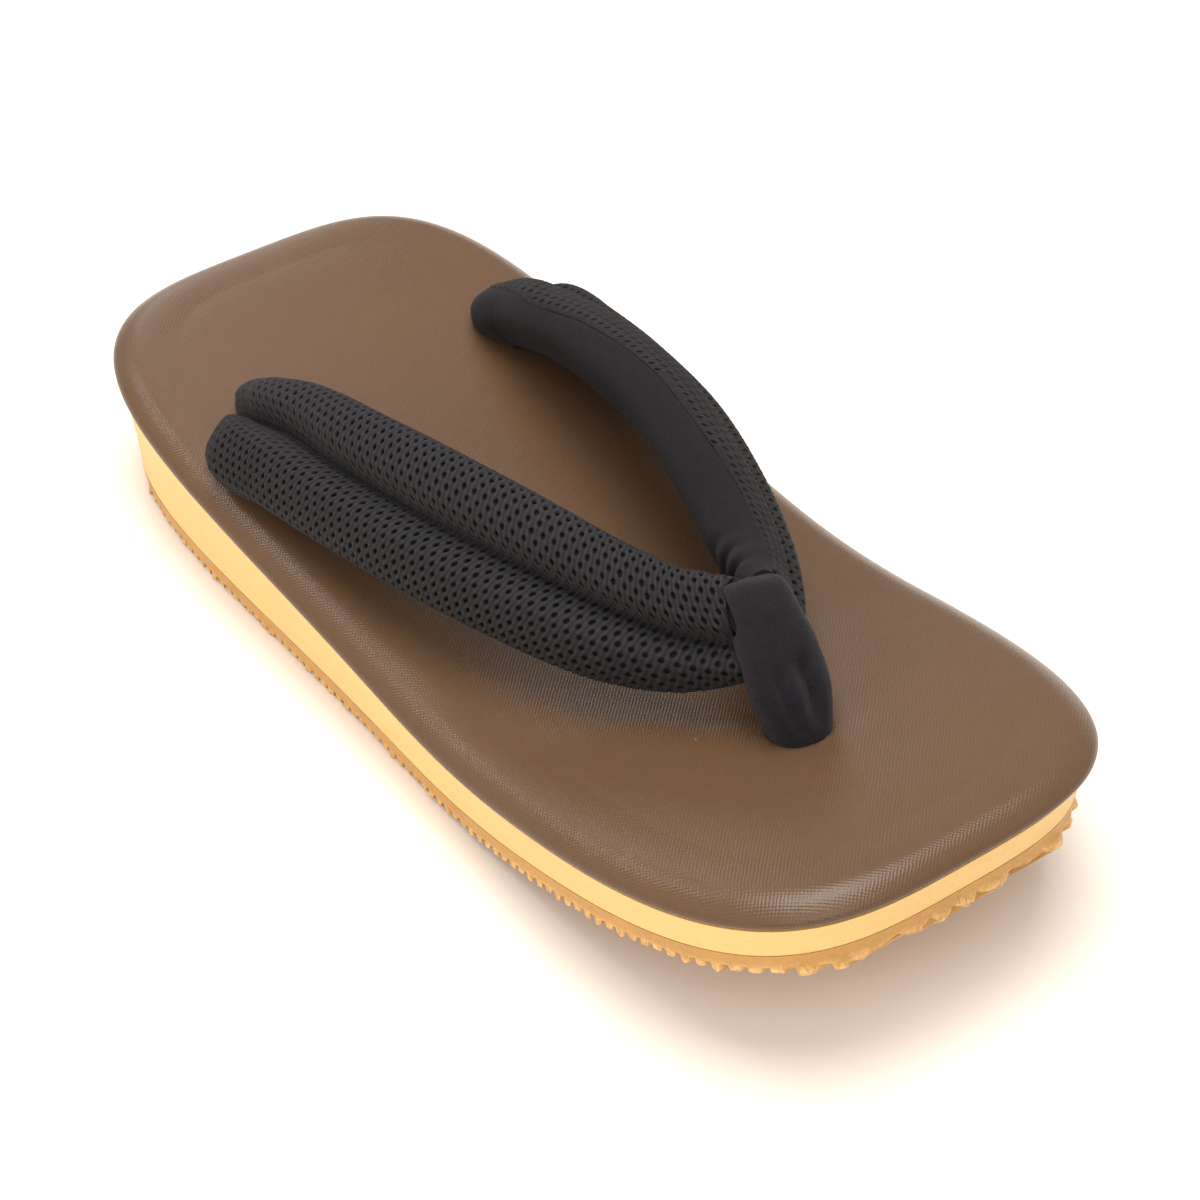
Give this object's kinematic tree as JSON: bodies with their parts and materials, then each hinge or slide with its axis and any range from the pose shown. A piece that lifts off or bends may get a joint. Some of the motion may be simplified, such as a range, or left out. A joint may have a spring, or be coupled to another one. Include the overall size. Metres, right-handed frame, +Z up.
{
  "type": "setta sandal",
  "caption": "Thonged sandal with a padded V-shaped strap, a cloth toe loop, a vinyl-covered footbed, a foam wedge and a ribbed rubber outsole.",
  "frame": {"origin": "on the floor under the middle of the sandal's box", "axes": "+X towards the toe, +Z up, +Y to the wearer's left"},
  "size_m": [0.255, 0.1048, 0.0607],
  "materials": {
    "outsole_rubber": "amber gum rubber, satin, ribbed, with rough trimmed edges",
    "wedge_foam": "smooth closed-cell foam, matte with a faint satin",
    "footbed_vinyl": "embossed vinyl with a fine woven grain, satin",
    "strap_mesh": "knitted spacer mesh over padding, matte",
    "strap_backing": "brushed cloth, matte",
    "loop_cloth": "brushed cloth, matte"
  },
  "bodies": {
    "root": {"outsole": "outsole_rubber", "midsole": "wedge_foam", "footbed": "footbed_vinyl", "strap": "strap_mesh", "front_loop": "loop_cloth"}
  },
  "joints": []
}
